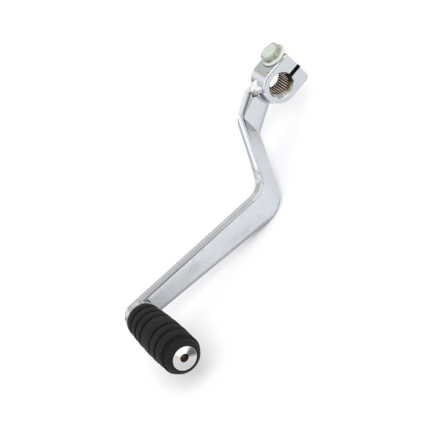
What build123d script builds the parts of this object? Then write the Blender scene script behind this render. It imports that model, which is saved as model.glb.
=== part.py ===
from build123d import *
from math import atan2, cos, hypot, pi, radians, sin, sqrt, tan
import os

# Gear shift lever, in millimetres.
# Origin: on the axis of the serrated bore, halfway through the clamp head.
# +X runs outboard along the bore and the peg, +Z is up as fitted, and the arm runs towards -Y.

# ---- clamp head ----
head_depth = 14.4
head_r = 9.8
head_end_y = 13.3
head_corner_r = 3.0
head_rim_r = 1.1

# ---- serrated bore ----
tooth_count = 28
crest_r = 5.5
root_r = 6.0
groove_share_at_crest = 0.60
groove_share_at_root = 0.22
gap_overlap = 0.5
mouth_r = 6.5
mouth_depth = 3.6
mouth_chamfer = 0.4
back_chamfer = 0.5

# ---- pinch slot and bolt ----
slot_width = 2.1
bolt_y = 8.6
thread_r = 2.95
tapped_hole_r = 3.0
clearance_hole_r = 3.3
bolt_length = 20.0
bolt_tip_chamfer = 0.6
flange_r = 6.45
flange_rim = 1.0
flange_edge = 0.3
flange_cone = 0.7
hex_across_flats = 10.0
bolt_head_height = 4.6
hex_chamfer_width = 1.85
hex_chamfer_drop = 1.05
hex_clearance = 0.4

# ---- arm: a flat bar, joggled outboard ----
bar = 5.5
shortest_long_edge = 5.6
arm_face_x = 0.0
joggle = 39.5
bend_1_y = -23.2
bend_2_y = -44.2
bend_1_inner_r = 2.2
bend_2_inner_r = 9.0
arm_edge_r = 0.8
cut_margin = 10.0
arm_height = 80.0

# ---- arm seen from outboard ----
root_angle = 28.0
root_width = 13.6
root_offset = 5.1
root_start = 8.4
knee_along = 43.0
knee_lean = 9.2
knee_top_r = 20.0
knee_bottom_r = 38.0
tip_r = 5.9

# ---- peg ----
peg_y = -128.9
peg_z = -1.9
spigot_r = 4.0
collar_r = 8.0
collar_length = 3.0
shank_r = 4.75
cap_r = 7.2
cap_back = 3.6
cap_edge = 1.9
cap_rim_recess = 0.35
cap_rim_r = 6.2
dish_depth = 0.6
centre_mark_r = 2.1
centre_mark_depth = 1.3
plug_recess = 1.0

# ---- rubber sleeve ----
grip_length = 45.0
grip_max_r = 10.0
grip_inner_end_r = 8.4
grip_fullest = 31.5
grip_lip_r = 6.9
lip_gap = 0.15
grip_nose = 4.0
nose_mid_along = 2.4
nose_mid_r = 8.5
groove_places = (5.2, 11.2, 17.0, 27.1, 33.0, 39.8)
groove_floor_width = 1.05
groove_mouth_width = 2.1
groove_depth = 1.3
ring_round = 0.4

# ---- welds ----
front_fillet_leg = 2.2
back_fillet_leg = 1.5
fillet_hollow = 0.36
ring_weld_from = -8.0
ring_weld_to = 40.0
top_bead_r = 3.0
top_bead_end_r = 1.8
top_bead_from_x = -5.2
top_bead_length = 9.4
top_bead_along = 6.3
top_bead_across = 9.6
bottom_drop_r = 1.7
bottom_drop_count = 4
bottom_drop_along = 9.9
bottom_drop_lift = 0.4
plug_r = 5.2
plug_rise = 0.9
plug_flat_r = 3.4

# ---- values that follow ----
arm_front_x = arm_face_x + joggle
grip_start_x = arm_front_x + collar_length
grip_end_x = grip_start_x + grip_length
bend_angle = atan2(joggle, bend_1_y - bend_2_y)
back_shift = bar * tan(bend_angle / 2)
bend_1_outer_r = bend_1_inner_r + bar
bend_2_outer_r = bend_2_inner_r + bar
peg_axis = Axis((0, peg_y, peg_z), (1, 0, 0))
peg_plane = Plane(origin=(0, peg_y, peg_z), x_dir=(1, 0, 0), z_dir=(0, -1, 0))
bolt_seat_z = head_r

# unit vectors in the side view (Y, Z): along the arm's root, and across it towards its upper edge
root_dir = (-cos(radians(root_angle)), -sin(radians(root_angle)))
root_up = (-sin(radians(root_angle)), cos(radians(root_angle)))


def root_point(along, across):
    """A side-view point by its distance along the root from the bore axis, and across it."""
    return (
        along * root_dir[0] + across * root_up[0],
        along * root_dir[1] + across * root_up[1],
    )


def tangent_point(start, centre, radius, side):
    """Where the line from start touches a circle, on its side +1 (left of the way there) or -1."""
    dy = centre[0] - start[0]
    dz = centre[1] - start[1]
    distance = hypot(dy, dz)
    heading = atan2(dz, dy)
    half = atan2(radius, sqrt(distance**2 - radius**2))
    reach = sqrt(distance**2 - radius**2)
    turn = heading + side * half
    return (start[0] + reach * cos(turn), start[1] + reach * sin(turn))


top_offset = root_offset + root_width / 2
bottom_offset = root_offset - root_width / 2
root_top = root_point(root_start, top_offset)
root_bottom = root_point(root_start, bottom_offset)
knee_top = root_point(knee_along, top_offset)
knee_bottom = root_point(knee_along + knee_lean, bottom_offset)
peg_centre = (peg_y, peg_z)
tip_top = tangent_point(knee_top, peg_centre, tip_r, -1)
tip_bottom = tangent_point(knee_bottom, peg_centre, tip_r, 1)


def grip_radius(along):
    """Outer radius of the barrel-shaped sleeve, by distance from its arm end."""
    fall = (grip_max_r - grip_inner_end_r) / grip_fullest**2
    return grip_max_r - fall * (along - grip_fullest) ** 2


os.makedirs("parts", exist_ok=True)

# ---- clamp head: round side towards the arm, two ears with the slot between them ----
with BuildPart() as clamp_head:
    with BuildSketch(Plane.YZ.offset(-head_depth / 2)):
        Circle(head_r)
        with Locations((head_end_y / 2, 0)):
            Rectangle(head_end_y, 2 * head_r)
    extrude(amount=head_depth)
    fillet(clamp_head.edges().filter_by(Axis.X).sort_by(Axis.Y)[-2:], head_corner_r)
    faces_along_x = clamp_head.faces().filter_by(Axis.X).sort_by(Axis.X)
    fillet(faces_along_x[0].edges() + faces_along_x[-1].edges(), head_rim_r)
    # the serrations: a bore to the tooth crests, widened by one groove between each two teeth
    with BuildSketch() as tooth_gap:
        pitch = 2 * pi / tooth_count
        half_crest = groove_share_at_crest * pitch * crest_r / 2
        half_root = groove_share_at_root * pitch * root_r / 2
        with BuildLine():
            Polyline(
                (crest_r - gap_overlap, -half_crest),
                (crest_r, -half_crest),
                (root_r, -half_root),
                (root_r, half_root),
                (crest_r, half_crest),
                (crest_r - gap_overlap, half_crest),
                close=True,
            )
        make_face()
    with BuildSketch(Plane.YZ.offset(-head_depth / 2)):
        Circle(crest_r)
        with PolarLocations(0, tooth_count):
            add(tooth_gap.sketch)
    extrude(amount=head_depth, mode=Mode.SUBTRACT)
    # the smooth mouth on the outboard side, and lead-ins at both ends
    with BuildSketch(Plane.YZ.offset(head_depth / 2)):
        Circle(mouth_r)
    extrude(amount=-mouth_depth, mode=Mode.SUBTRACT)
    with BuildSketch(Plane.YZ.offset(head_depth / 2)):
        Circle(mouth_r + mouth_chamfer)
    extrude(amount=-mouth_chamfer, taper=45, mode=Mode.SUBTRACT)
    with BuildSketch(Plane.YZ.offset(-head_depth / 2)):
        Circle(root_r + back_chamfer)
    extrude(amount=back_chamfer, taper=45, mode=Mode.SUBTRACT)
    # the pinch slot
    with BuildSketch(Plane.YZ.offset(-head_depth / 2)):
        with Locations((head_end_y, 0)):
            Rectangle(2 * (head_end_y - crest_r + gap_overlap), slot_width)
    extrude(amount=head_depth, mode=Mode.SUBTRACT)
    # the bolt passes the upper ear and is tapped into the lower one
    with BuildSketch(Plane.XY):
        with Locations((0, bolt_y)):
            Circle(clearance_hole_r)
    extrude(amount=head_r, mode=Mode.SUBTRACT)
    with BuildSketch(Plane.XY):
        with Locations((0, bolt_y)):
            Circle(tapped_hole_r)
    extrude(amount=-head_r, mode=Mode.SUBTRACT)
clamp_head.part.label = "clamp_head"
export_step(clamp_head.part, "parts/clamp_head.step")


def at_root_end(edge):
    """Whether an edge of the arm lies on its cut end beside the head."""
    middle = edge.center()
    along = middle.Y * root_dir[0] + middle.Z * root_dir[1]
    return abs(along - root_start) < arm_edge_r / 2


# ---- arm: the side outline carried across the joggle, with every long edge rounded ----
with BuildPart() as lever_arm:
    with BuildSketch(Plane.YZ.offset(arm_face_x - bar - cut_margin)) as side_outline:
        with BuildLine():
            Polyline(root_top, knee_top, tip_top, tip_bottom, knee_bottom, root_bottom, close=True)
        make_face()
        with Locations(peg_centre):
            Circle(tip_r)
        fillet(side_outline.vertices().sort_by_distance((*knee_top, 0))[0], knee_top_r)
        fillet(side_outline.vertices().sort_by_distance((*knee_bottom, 0))[0], knee_bottom_r)
    extrude(amount=joggle + bar + 2 * cut_margin)
    with BuildSketch(Plane.XY.offset(-arm_height / 2)):
        far_y = peg_y - tip_r - cut_margin
        with BuildLine():
            FilletPolyline(
                (arm_face_x, head_r),
                (arm_face_x, bend_1_y),
                (arm_front_x, bend_2_y),
                (arm_front_x, far_y),
                radius=(bend_1_inner_r, bend_2_outer_r),
            )
            Line((arm_front_x, far_y), (arm_front_x - bar, far_y))
            FilletPolyline(
                (arm_front_x - bar, far_y),
                (arm_front_x - bar, bend_2_y - back_shift),
                (arm_face_x - bar, bend_1_y - back_shift),
                (arm_face_x - bar, head_r),
                radius=(bend_2_inner_r, bend_1_outer_r),
            )
            Line((arm_face_x - bar, head_r), (arm_face_x, head_r))
        make_face()
    extrude(amount=arm_height, mode=Mode.INTERSECT)
    long_edges = lever_arm.edges().filter_by(lambda edge: edge.length > shortest_long_edge)
    fillet(long_edges.filter_by(lambda edge: not at_root_end(edge)), arm_edge_r)
    # coped round the head, and bored for the peg's spigot
    with BuildSketch(Plane.YZ.offset(-head_depth / 2)):
        Circle(head_r)
    extrude(amount=head_depth, mode=Mode.SUBTRACT)
    with BuildSketch(Plane.YZ.offset(arm_front_x - bar)):
        with Locations(peg_centre):
            Circle(spigot_r)
    extrude(amount=bar, mode=Mode.SUBTRACT)
lever_arm.part.label = "lever_arm"
export_step(lever_arm.part, "parts/lever_arm.step")

# ---- welds between head and arm ----
head_axis = Axis((0, 0, 0), (1, 0, 0))
ring_weld_arc = ring_weld_to - ring_weld_from
ring_weld_plane = Plane.XY.rotated((root_angle - 180 - ring_weld_to, 0, 0))


def fillet_outline(seat_x, rise, leg):
    """The concave section of a fillet bead on the face at seat_x, which looks towards rise."""
    Line((seat_x, head_r), (seat_x, head_r + leg))
    ThreePointArc(
        (seat_x, head_r + leg),
        (seat_x + rise * leg * fillet_hollow, head_r + leg * fillet_hollow),
        (seat_x + rise * leg, head_r),
    )
    Line((seat_x + rise * leg, head_r), (seat_x, head_r))


with BuildPart() as head_weld_front:
    with BuildSketch(ring_weld_plane):
        with BuildLine():
            fillet_outline(arm_face_x, 1, front_fillet_leg)
        make_face()
    revolve(axis=head_axis, revolution_arc=ring_weld_arc)
head_weld_front.part.label = "head_weld_front"
export_step(head_weld_front.part, "parts/head_weld_front.step")

with BuildPart() as head_weld_back:
    with BuildSketch(ring_weld_plane):
        with BuildLine():
            fillet_outline(arm_face_x - bar, -1, back_fillet_leg)
        make_face()
    revolve(axis=head_axis, revolution_arc=ring_weld_arc)
head_weld_back.part.label = "head_weld_back"
export_step(head_weld_back.part, "parts/head_weld_back.step")

# the upper bead is a short round-ended roll in the corner between the head and the arm's end
with BuildPart() as head_weld_top:
    with BuildSketch(Plane.YZ.offset(top_bead_from_x)):
        with Locations(root_point(top_bead_along, top_bead_across)):
            Circle(top_bead_r)
    extrude(amount=top_bead_length)
    fillet(head_weld_top.edges().filter_by(GeomType.CIRCLE), top_bead_end_r)
    add(clamp_head.part, mode=Mode.SUBTRACT)
    add(lever_arm.part, mode=Mode.SUBTRACT)
    add(head_weld_front.part, mode=Mode.SUBTRACT)
    add(head_weld_back.part, mode=Mode.SUBTRACT)
head_weld_top.part.label = "head_weld_top"
export_step(head_weld_top.part, "parts/head_weld_top.step")

# the lower bead is a row of smaller drops under the arm's lower edge
with BuildPart() as head_weld_bottom:
    for step in range(bottom_drop_count):
        drop_x = arm_face_x - bar + bar / bottom_drop_count * (step + 0.5)
        with Locations((drop_x, *root_point(bottom_drop_along, bottom_offset - bottom_drop_lift))):
            Sphere(bottom_drop_r)
    add(clamp_head.part, mode=Mode.SUBTRACT)
    add(lever_arm.part, mode=Mode.SUBTRACT)
    add(head_weld_front.part, mode=Mode.SUBTRACT)
    add(head_weld_back.part, mode=Mode.SUBTRACT)
head_weld_bottom.part.label = "head_weld_bottom"
export_step(head_weld_bottom.part, "parts/head_weld_bottom.step")

# ---- peg: spigot through the arm, collar, shank and dished cap with a centre mark ----
spigot_end_x = arm_front_x - bar + plug_recess
cap_back_x = grip_end_x - cap_back
cap_edge_x = grip_end_x - cap_edge
cap_rim_x = grip_end_x - cap_rim_recess
with BuildPart() as gear_peg:
    with BuildSketch(peg_plane):
        with BuildLine():
            Polyline(
                (spigot_end_x, 0),
                (spigot_end_x, spigot_r),
                (arm_front_x, spigot_r),
                (arm_front_x, collar_r),
                (grip_start_x, collar_r),
                (grip_start_x, shank_r),
                (cap_back_x, shank_r),
                (cap_back_x, cap_r),
                (cap_edge_x, cap_r),
                (cap_rim_x, cap_rim_r),
            )
            dish_rise = dish_depth / cap_rim_r**2
            dish_side_x = cap_rim_x - dish_depth + dish_rise * centre_mark_r**2
            mid_r = (cap_rim_r + centre_mark_r) / 2
            dish_mid_x = cap_rim_x - dish_depth + dish_rise * mid_r**2
            ThreePointArc(
                (cap_rim_x, cap_rim_r), (dish_mid_x, mid_r), (dish_side_x, centre_mark_r)
            )
            Line((dish_side_x, centre_mark_r), (dish_side_x - centre_mark_depth, 0))
            Line((dish_side_x - centre_mark_depth, 0), (spigot_end_x, 0))
        make_face()
    revolve(axis=peg_axis)
gear_peg.part.label = "gear_peg"
export_step(gear_peg.part, "parts/gear_peg.step")

with BuildPart() as peg_weld:
    with BuildSketch(peg_plane):
        with BuildLine():
            back_x = arm_front_x - bar
            Line((spigot_end_x, 0), (spigot_end_x, spigot_r))
            Line((spigot_end_x, spigot_r), (back_x, spigot_r))
            Line((back_x, spigot_r), (back_x, plug_r))
            Line((back_x, plug_r), (back_x - plug_rise, plug_flat_r))
            Line((back_x - plug_rise, plug_flat_r), (back_x - plug_rise, 0))
            Line((back_x - plug_rise, 0), (spigot_end_x, 0))
        make_face()
    revolve(axis=peg_axis)
    fillet(peg_weld.edges().sort_by(Axis.X)[0], plug_rise)
peg_weld.part.label = "peg_weld"
export_step(peg_weld.part, "parts/peg_weld.step")

# ---- rubber sleeve: a barrel with grooves cut into it, open at its outer end round the cap ----
with BuildPart() as grip_rubber:
    nose_x = grip_end_x - grip_nose
    with BuildSketch(peg_plane):
        with BuildLine():
            Line((grip_start_x, shank_r), (grip_start_x, grip_inner_end_r - ring_round))
            Line(
                (grip_start_x, grip_inner_end_r - ring_round),
                (grip_start_x + ring_round, grip_inner_end_r),
            )
            middle = (grip_length - grip_nose) / 2
            ThreePointArc(
                (grip_start_x + ring_round, grip_inner_end_r),
                (grip_start_x + middle, grip_radius(middle)),
                (nose_x, grip_radius(grip_length - grip_nose)),
            )
            ThreePointArc(
                (nose_x, grip_radius(grip_length - grip_nose)),
                (nose_x + nose_mid_along, nose_mid_r),
                (grip_end_x, grip_lip_r),
            )
            Polyline(
                (grip_end_x, grip_lip_r),
                (grip_end_x, cap_rim_r + lip_gap),
                (cap_rim_x, cap_rim_r),
                (cap_edge_x, cap_r),
                (cap_back_x, cap_r),
                (cap_back_x, shank_r),
                (grip_start_x, shank_r),
            )
        make_face()
    revolve(axis=peg_axis)
    with BuildSketch(peg_plane):
        for place in groove_places:
            groove_x = grip_end_x - place
            surface = grip_radius(grip_length - place)
            with BuildLine():
                Polyline(
                    (groove_x - groove_mouth_width / 2, surface + groove_depth),
                    (groove_x - groove_floor_width / 2, surface - groove_depth),
                    (groove_x + groove_floor_width / 2, surface - groove_depth),
                    (groove_x + groove_mouth_width / 2, surface + groove_depth),
                    close=True,
                )
            make_face()
    revolve(axis=peg_axis, mode=Mode.SUBTRACT)
grip_rubber.part.label = "grip_rubber"
export_step(grip_rubber.part, "parts/grip_rubber.step")

# ---- pinch bolt: hexagon head, flange and plain-modelled thread ----
with BuildPart() as pinch_bolt:
    bolt_plane = Plane(origin=(0, bolt_y, 0), x_dir=(1, 0, 0), z_dir=(0, -1, 0))
    bolt_axis = Axis((0, bolt_y, 0), (0, 0, 1))
    tip_z = bolt_seat_z - bolt_length
    hex_corner_r = hex_across_flats / sqrt(3)
    cone_top_z = bolt_seat_z + flange_rim + flange_cone
    head_top_z = bolt_seat_z + bolt_head_height
    with BuildSketch(Plane.XY.offset(bolt_seat_z + flange_rim)):
        with Locations((0, bolt_y)):
            RegularPolygon(hex_corner_r, 6)
    extrude(amount=bolt_head_height - flange_rim)
    # the turned cone that takes the corners off the top of the hexagon
    with BuildSketch(bolt_plane):
        with BuildLine():
            Polyline(
                (hex_corner_r - hex_chamfer_width, head_top_z),
                (hex_corner_r, head_top_z - hex_chamfer_drop),
                (hex_corner_r + hex_clearance, head_top_z - hex_chamfer_drop),
                (hex_corner_r + hex_clearance, head_top_z),
                close=True,
            )
        make_face()
    revolve(axis=bolt_axis, mode=Mode.SUBTRACT)
    with BuildSketch(bolt_plane):
        with BuildLine():
            Polyline(
                (0, tip_z),
                (thread_r - bolt_tip_chamfer, tip_z),
                (thread_r, tip_z + bolt_tip_chamfer),
                (thread_r, bolt_seat_z),
                (flange_r - flange_edge, bolt_seat_z),
                (flange_r, bolt_seat_z + flange_edge),
                (flange_r, bolt_seat_z + flange_rim),
                (hex_across_flats / 2, cone_top_z),
                (0, cone_top_z),
                close=True,
            )
        make_face()
    revolve(axis=bolt_axis)
pinch_bolt.part.label = "pinch_bolt"
export_step(pinch_bolt.part, "parts/pinch_bolt.step")
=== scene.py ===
"""Looks of a gear shift lever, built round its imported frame: meshes, finishes, studio and camera."""

from __future__ import annotations

import logging
import math
from dataclasses import dataclass, field
from enum import Enum
from typing import Sequence, Union

import bmesh
import bpy
import numpy as np
from mathutils import Matrix, Vector, noise


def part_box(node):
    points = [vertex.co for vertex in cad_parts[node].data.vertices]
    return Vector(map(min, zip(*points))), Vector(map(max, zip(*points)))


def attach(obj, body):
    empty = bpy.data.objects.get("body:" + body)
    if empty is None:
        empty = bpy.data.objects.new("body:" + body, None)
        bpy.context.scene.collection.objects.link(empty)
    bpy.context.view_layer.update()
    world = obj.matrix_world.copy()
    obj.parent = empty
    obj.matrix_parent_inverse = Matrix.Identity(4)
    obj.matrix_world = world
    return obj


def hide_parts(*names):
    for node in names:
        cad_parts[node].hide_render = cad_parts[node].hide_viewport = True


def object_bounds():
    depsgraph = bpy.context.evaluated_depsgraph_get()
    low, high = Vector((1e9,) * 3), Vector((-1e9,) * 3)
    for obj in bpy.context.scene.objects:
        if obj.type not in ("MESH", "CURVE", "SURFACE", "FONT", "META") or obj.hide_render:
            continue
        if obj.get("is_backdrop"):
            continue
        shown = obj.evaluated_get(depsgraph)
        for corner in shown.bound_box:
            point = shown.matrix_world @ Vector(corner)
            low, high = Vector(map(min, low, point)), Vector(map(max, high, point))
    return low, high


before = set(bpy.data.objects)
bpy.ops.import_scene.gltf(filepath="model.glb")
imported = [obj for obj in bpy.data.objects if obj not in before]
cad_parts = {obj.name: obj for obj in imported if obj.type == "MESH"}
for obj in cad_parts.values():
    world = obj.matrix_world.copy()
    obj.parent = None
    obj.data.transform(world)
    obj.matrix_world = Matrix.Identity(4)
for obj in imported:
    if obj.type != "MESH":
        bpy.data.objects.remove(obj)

LOG = logging.getLogger("gear_shift_lever")
MM = 0.001
MERGE = 0.0001 * MM

Triple = tuple[float, float, float]
Colour = Triple
Pair = tuple[float, float]
Skin = tuple[list[Vector], list[list[int]]]


class Body(Enum):
    """The rigid bodies that pieces ride on."""

    LEVER = "lever"
    BOLT = "bolt"


class Slot(Enum):
    """The record's material slots."""

    CHROME = "chrome"
    RUBBER = "rubber"
    ZINC = "zinc_steel"


def mm(*sizes: float) -> tuple[float, ...]:
    """Sizes in millimetres, as metres."""
    return tuple(size * MM for size in sizes)


def middle(node: str) -> Triple:
    """The middle of a node's box."""
    low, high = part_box(node)
    return tuple((a + b) / 2 for a, b in zip(low, high))


# ---------------------------------------------------------------- shader nodes


class Wire:
    """A shader socket that can stand in arithmetic; every operation adds its Math node."""

    def __init__(self, bench: "NodeBench", socket: bpy.types.NodeSocket) -> None:
        """Keep the output socket and the bench that its tree is built on."""
        self.bench = bench
        self.socket = socket

    def _math(self, operation: str, first: "Value", second: "Value") -> "Wire":
        """Add one Math node."""
        return self.bench.add("ShaderNodeMath", {"operation": operation}, {0: first, 1: second})

    def __add__(self, other: "Value") -> "Wire":
        """Sum of this and other."""
        return self._math("ADD", self, other)

    def __radd__(self, other: float) -> "Wire":
        """Sum of other and this."""
        return self._math("ADD", other, self)

    def __sub__(self, other: "Value") -> "Wire":
        """This less other."""
        return self._math("SUBTRACT", self, other)

    def __rsub__(self, other: float) -> "Wire":
        """Other less this."""
        return self._math("SUBTRACT", other, self)

    def __mul__(self, other: "Value") -> "Wire":
        """Product of this and other."""
        return self._math("MULTIPLY", self, other)

    def __rmul__(self, other: float) -> "Wire":
        """Product of other and this."""
        return self._math("MULTIPLY", other, self)

    def __truediv__(self, other: "Value") -> "Wire":
        """This over other."""
        return self._math("DIVIDE", self, other)

    def __pow__(self, other: "Value") -> "Wire":
        """This to the power of other."""
        return self._math("POWER", self, other)

    def at_least(self, other: "Value") -> "Wire":
        """The larger of this and other."""
        return self._math("MAXIMUM", self, other)

    def at_most(self, other: "Value") -> "Wire":
        """The smaller of this and other."""
        return self._math("MINIMUM", self, other)

    def hypot(self, other: "Wire") -> "Wire":
        """Distance from the axis where this and other are both 0."""
        return (self * self + other * other) ** 0.5

    def step(self, low: float, high: float) -> "Wire":
        """A smooth step from 0 at low to 1 at high; low may be the larger one."""
        return self.bench.add(
            "ShaderNodeMapRange",
            {"interpolation_type": "SMOOTHSTEP"},
            {"Value": self, "From Min": low, "From Max": high},
        )

    def band(self, start: float, full: float, last: float, end: float) -> "Wire":
        """A smooth band: 0 up to start, 1 from full to last and 0 from end on."""
        return self.step(start, full) * self.step(end, last)


Value = Union[Wire, float]


class NodeBench:
    """Builds the nodes of one material or world."""

    def __init__(self, tree: bpy.types.NodeTree) -> None:
        """Empty the tree and keep it."""
        self.tree = tree
        tree.nodes.clear()

    def add(
        self,
        kind: str,
        settings: dict | None = None,
        sockets: dict | None = None,
        output: int | str = 0,
    ) -> Wire:
        """Add one node: settings first, then the values or links of its sockets.

        Args:
            kind: The node's type.
            settings: Its properties.
            sockets: Input values or wires, by name or index.
            output: Which output to hand back.

        Returns:
            The wanted output, or a wire with no socket for an output node.
        """
        node = self.tree.nodes.new(kind)
        for name, value in (settings or {}).items():
            setattr(node, name, value)
        for name, value in (sockets or {}).items():
            if isinstance(value, Wire):
                self.tree.links.new(value.socket, node.inputs[name])
            else:
                node.inputs[name].default_value = value
        return Wire(self, node.outputs[output] if node.outputs else None)

    def coords(self) -> Wire:
        """Object coordinates, which are the row frame's, in metres."""
        return self.add("ShaderNodeTexCoord", output="Object")

    def split(self, vector: Wire) -> tuple[Wire, Wire, Wire]:
        """The three parts of a vector."""
        node = self.add("ShaderNodeSeparateXYZ", {}, {0: vector}).socket.node
        return tuple(Wire(self, output) for output in node.outputs)

    def scaled(self, vector: Wire, scale: Triple) -> Wire:
        """A vector times a constant vector."""
        return self.add("ShaderNodeVectorMath", {"operation": "MULTIPLY"}, {0: vector, 1: scale})

    def dot(self, vector: Wire, direction: Triple) -> Wire:
        """A vector's share along a constant direction."""
        return self.add(
            "ShaderNodeVectorMath", {"operation": "DOT_PRODUCT"}, {0: vector, 1: direction}, "Value"
        )

    def facing(self, across: Wire, up: Wire, towards: Pair) -> Wire:
        """Cosine between a point's (across, up) direction and a fixed one of length 1."""
        radius = across.hypot(up).at_least(0.01 * MM)
        return (across * towards[0] + up * towards[1]) / radius

    def noise(self, vector: Wire, scale: float, detail: float = 3.0) -> Wire:
        """Fractal noise from 0 to 1, with scale features per metre and detail octaves."""
        return self.add(
            "ShaderNodeTexNoise", {}, {"Vector": vector, "Scale": scale, "Detail": detail}
        )

    def mix(self, factor: Value, first: Wire | Colour, second: Wire | Colour) -> Wire:
        """A colour between first, at factor 0, and second, at factor 1."""
        ends = [c if isinstance(c, Wire) else (*c, 1.0) for c in (first, second)]
        return self.add(
            "ShaderNodeMix", {"data_type": "RGBA"}, {0: factor, 6: ends[0], 7: ends[1]}, output=2
        )

    def layered(self, colour: Wire, layers: Sequence[tuple[Wire, Colour]]) -> Wire:
        """A colour with (mask, colour) layers laid over it in order.

        Args:
            colour: The colour below.
            layers: Mask and colour of each layer.

        Returns:
            The colour.
        """
        for mask, shade in layers:
            colour = self.mix(mask, colour, shade)
        return colour

    def bump(self, height: Wire, distance: float, under: Wire | None = None) -> Wire:
        """A bumped normal.

        Args:
            height: Height, where 1 stands for the distance.
            distance: Height of 1, in metres.
            under: A normal that this one adds to.

        Returns:
            The normal.
        """
        sockets = {"Height": height, "Distance": distance, "Strength": 1.0}
        if under is not None:
            sockets["Normal"] = under
        return self.add("ShaderNodeBump", {}, sockets)


# ---------------------------------------------------------------- finishes


@dataclass(frozen=True)
class Finish:
    """What all finishes share: a name and the making of the material."""

    name: str = "plain"

    def sockets(self, bench: NodeBench, place: Wire) -> dict:
        """Values and wires of the Principled shader, by socket, at object coordinates place."""
        raise NotImplementedError

    def material(self) -> bpy.types.Material:
        """Build the material.

        Returns:
            The material.
        """
        made = bpy.data.materials.new(self.name)
        made.use_nodes = True
        bench = NodeBench(made.node_tree)
        shader = bench.add("ShaderNodeBsdfPrincipled", {}, self.sockets(bench, bench.coords()))
        bench.add("ShaderNodeOutputMaterial", {}, {"Surface": shader})
        return made


@dataclass(frozen=True)
class ChromeFinish(Finish):
    """Bright decorative chrome over steel, with faint ripple, haze and hairline scratches."""

    name: str = "bright_chrome"
    bright: Colour = (0.625, 0.65, 0.685)
    dull: Colour = (0.575, 0.595, 0.625)
    stain: Colour = (0.50, 0.40, 0.28)
    stain_amount: float = 0.06
    roughness: float = 0.13
    haze: float = 0.10
    ripple: float = 0.000035
    ripple_scale: float = 110.0
    grain: float = 0.0000035
    hairlines: Triple = (900.0, 70.0, 900.0)

    def sockets(self, bench: NodeBench, place: Wire) -> dict:
        """Plain chrome all over.

        Args:
            bench: The tree builder.
            place: Object coordinates.

        Returns:
            Values and wires of the shader.
        """
        patches = bench.noise(place, 45.0, 4.0)
        haze = bench.noise(place, 260.0, 5.0)
        hair = bench.noise(bench.scaled(place, self.hairlines), 1.0, 2.0)
        colour = bench.mix(patches.step(0.35, 0.7), self.bright, self.dull)
        spots = bench.noise(place, 420.0, 5.0).step(0.5, 0.68)
        colour = bench.mix(spots * self.stain_amount, colour, self.stain)
        rough = self.roughness + self.haze * (haze.step(0.45, 0.8) + hair.step(0.6, 0.8) * 0.5)
        waves = bench.bump(bench.noise(place, self.ripple_scale, 2.0), self.ripple)
        normal = bench.bump(hair + haze, self.grain, waves)
        return {"Base Color": colour, "Roughness": rough, "Metallic": 1.0, "Normal": normal}


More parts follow.
